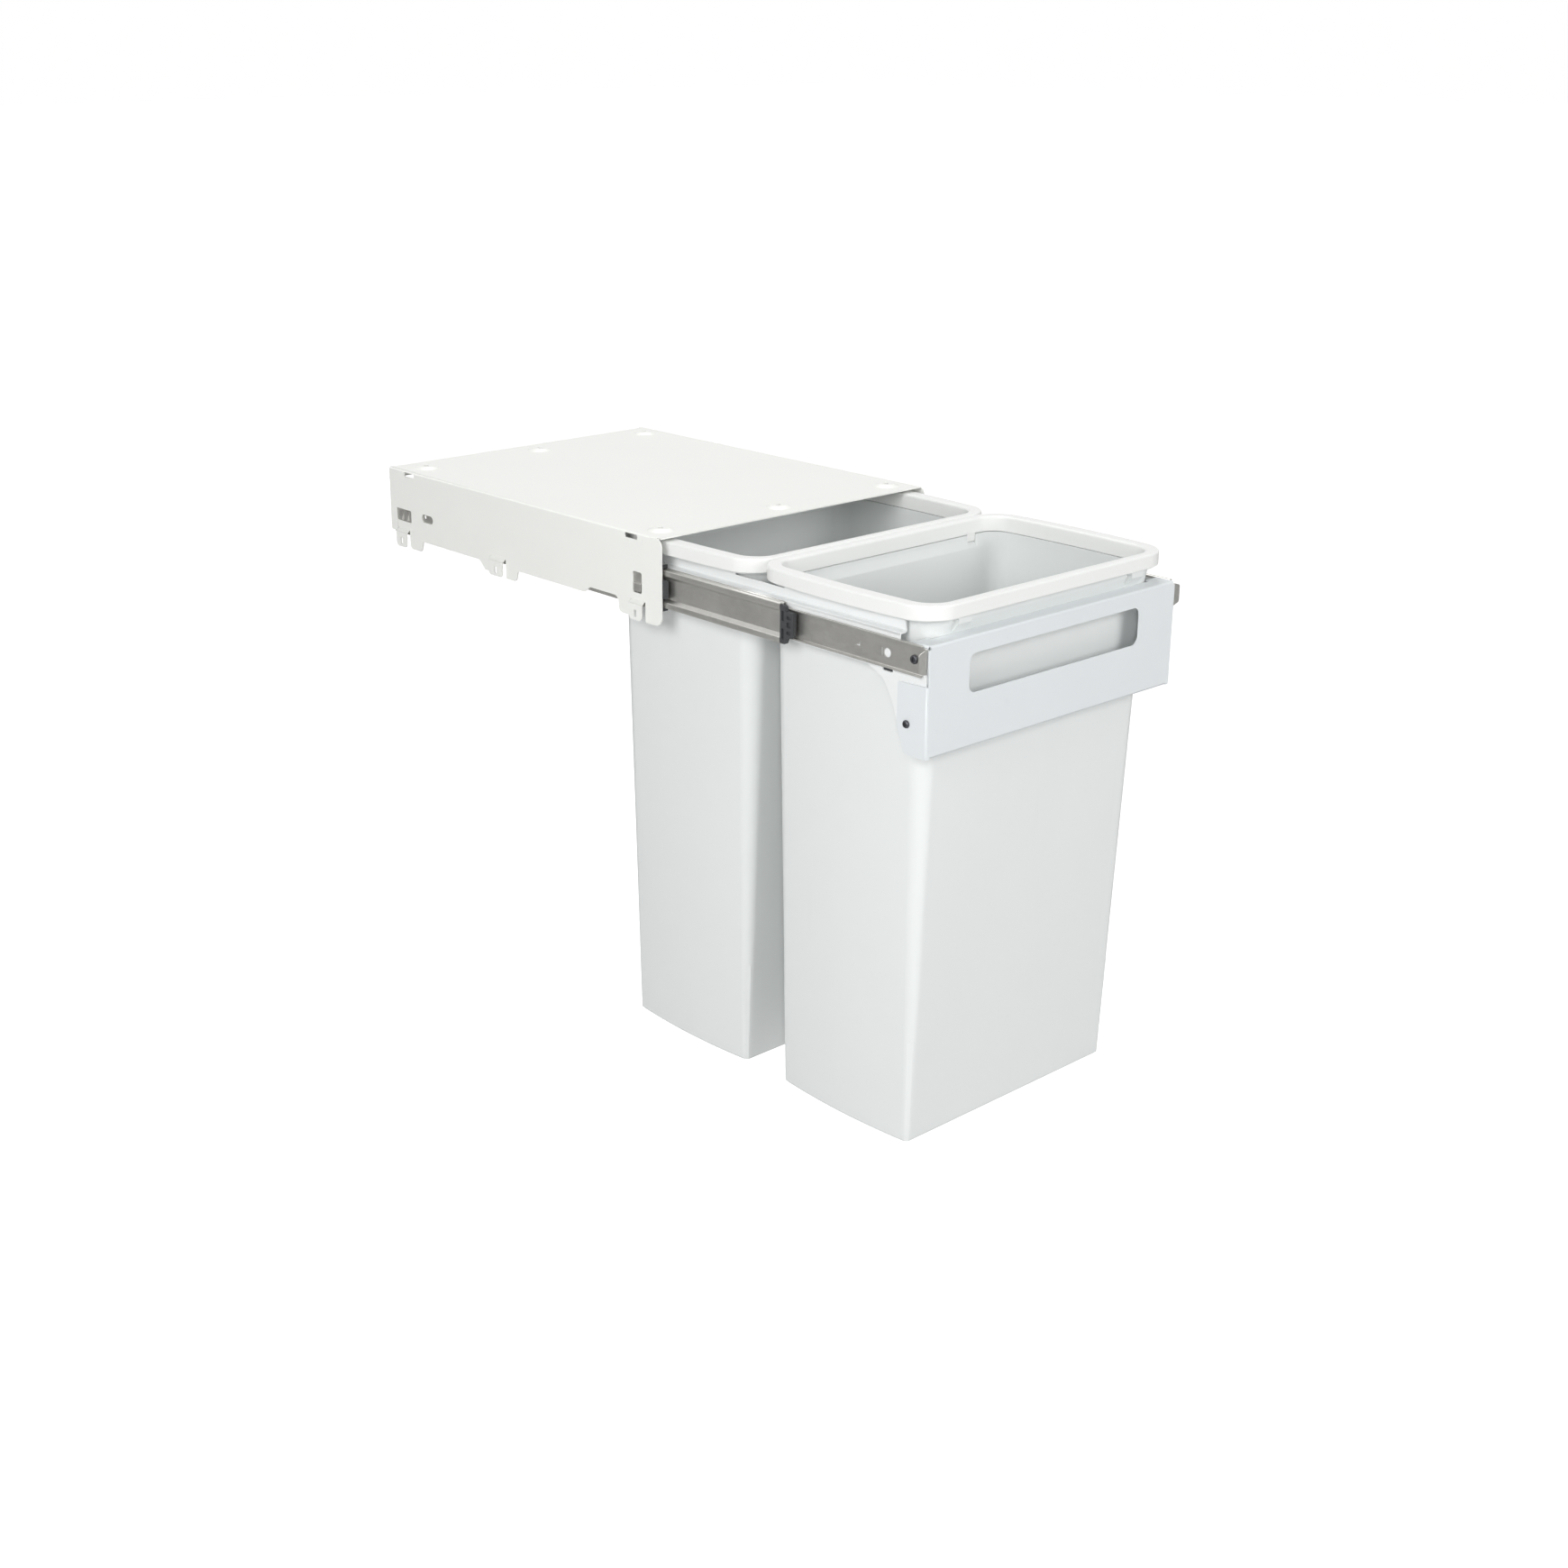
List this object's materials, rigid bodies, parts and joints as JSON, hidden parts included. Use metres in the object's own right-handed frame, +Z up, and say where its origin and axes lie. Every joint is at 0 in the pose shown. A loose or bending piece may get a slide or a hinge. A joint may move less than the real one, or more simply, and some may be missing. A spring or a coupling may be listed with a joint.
{
  "type": "pull-out waste unit",
  "caption": "Pull-out waste unit for a kitchen base cabinet: steel cover, ball slides, tray with hand panel and tapered buckets under liner collars.",
  "frame": {"origin": "middle of the cover's front edge, on the upper face of its top sheet", "axes": "+X to the right seen from the hand panel, +Y towards the back of the cabinet, the way the tray closes, +Z up"},
  "size_m": [0.3532, 0.7608, 0.5076],
  "materials": {
    "cover_steel": "satin warm-white powder coat on folded sheet steel",
    "galvanised_steel": "dull zinc-plated rolled steel",
    "cage_steel": "bright rolled strip with bearing balls",
    "black_plastic": "black moulded plastic",
    "rail_steel": "satin white powder coat on folded sheet steel",
    "panel_steel": "satin white powder coat on folded sheet steel",
    "screw_steel": "dark plated pan-head screw",
    "bucket_plastic": "white moulded plastic, finely grained",
    "collar_plastic": "white moulded plastic, smooth"
  },
  "bodies": {
    "cover_body": {"cover": "cover_steel", "slide_outer_left": "galvanised_steel", "slide_outer_right": "galvanised_steel", "mouth_guide_left": "black_plastic", "mouth_guide_right": "black_plastic"},
    "tray_body": {"slide_inner_left": "galvanised_steel", "slide_inner_right": "galvanised_steel", "tray_rail_left": "rail_steel", "tray_rail_right": "rail_steel", "tray_tie": "rail_steel", "hand_panel": "panel_steel", "slide_screw_front_left": "screw_steel", "slide_screw_front_right": "screw_steel", "slide_screw_rear_left": "screw_steel", "slide_screw_rear_right": "screw_steel", "panel_screw_left": "screw_steel", "panel_screw_right": "screw_steel", "bucket_front": "bucket_plastic", "bucket_rear": "bucket_plastic", "liner_collar_front": "collar_plastic", "liner_collar_rear": "collar_plastic"},
    "middle_left": {"slide_middle_left": "galvanised_steel", "slide_buffer_left": "black_plastic"},
    "outer_cage_left": {"ball_cage_outer_left": "cage_steel"},
    "inner_cage_left": {"ball_cage_inner_left": "cage_steel"},
    "middle_right": {"slide_middle_right": "galvanised_steel", "slide_buffer_right": "black_plastic"},
    "outer_cage_right": {"ball_cage_outer_right": "cage_steel"},
    "inner_cage_right": {"ball_cage_inner_right": "cage_steel"}
  },
  "joints": [
    {"name": "tray_slide", "type": "slide", "parent": "cover_body", "child": "tray_body", "axis": [0, 1, 0], "range_m": [-0.11, 0.294]},
    {"name": "middle_left_slide", "type": "slide", "parent": "cover_body", "child": "middle_left", "axis": [0, 1, 0], "range_m": [-0.055, 0.147]},
    {"name": "outer_cage_left_slide", "type": "slide", "parent": "cover_body", "child": "outer_cage_left", "axis": [0, 1, 0], "range_m": [-0.0275, 0.0735]},
    {"name": "inner_cage_left_slide", "type": "slide", "parent": "cover_body", "child": "inner_cage_left", "axis": [0, 1, 0], "range_m": [-0.0825, 0.2205]},
    {"name": "middle_right_slide", "type": "slide", "parent": "cover_body", "child": "middle_right", "axis": [0, 1, 0], "range_m": [-0.055, 0.147]},
    {"name": "outer_cage_right_slide", "type": "slide", "parent": "cover_body", "child": "outer_cage_right", "axis": [0, 1, 0], "range_m": [-0.0275, 0.0735]},
    {"name": "inner_cage_right_slide", "type": "slide", "parent": "cover_body", "child": "inner_cage_right", "axis": [0, 1, 0], "range_m": [-0.0825, 0.2205]}
  ],
  "couplings": [
    {"joint": "middle_left_slide", "follows": "tray_slide", "ratio": 0.5},
    {"joint": "outer_cage_left_slide", "follows": "tray_slide", "ratio": 0.25},
    {"joint": "inner_cage_left_slide", "follows": "tray_slide", "ratio": 0.75},
    {"joint": "middle_right_slide", "follows": "tray_slide", "ratio": 0.5},
    {"joint": "outer_cage_right_slide", "follows": "tray_slide", "ratio": 0.25},
    {"joint": "inner_cage_right_slide", "follows": "tray_slide", "ratio": 0.75}
  ]
}
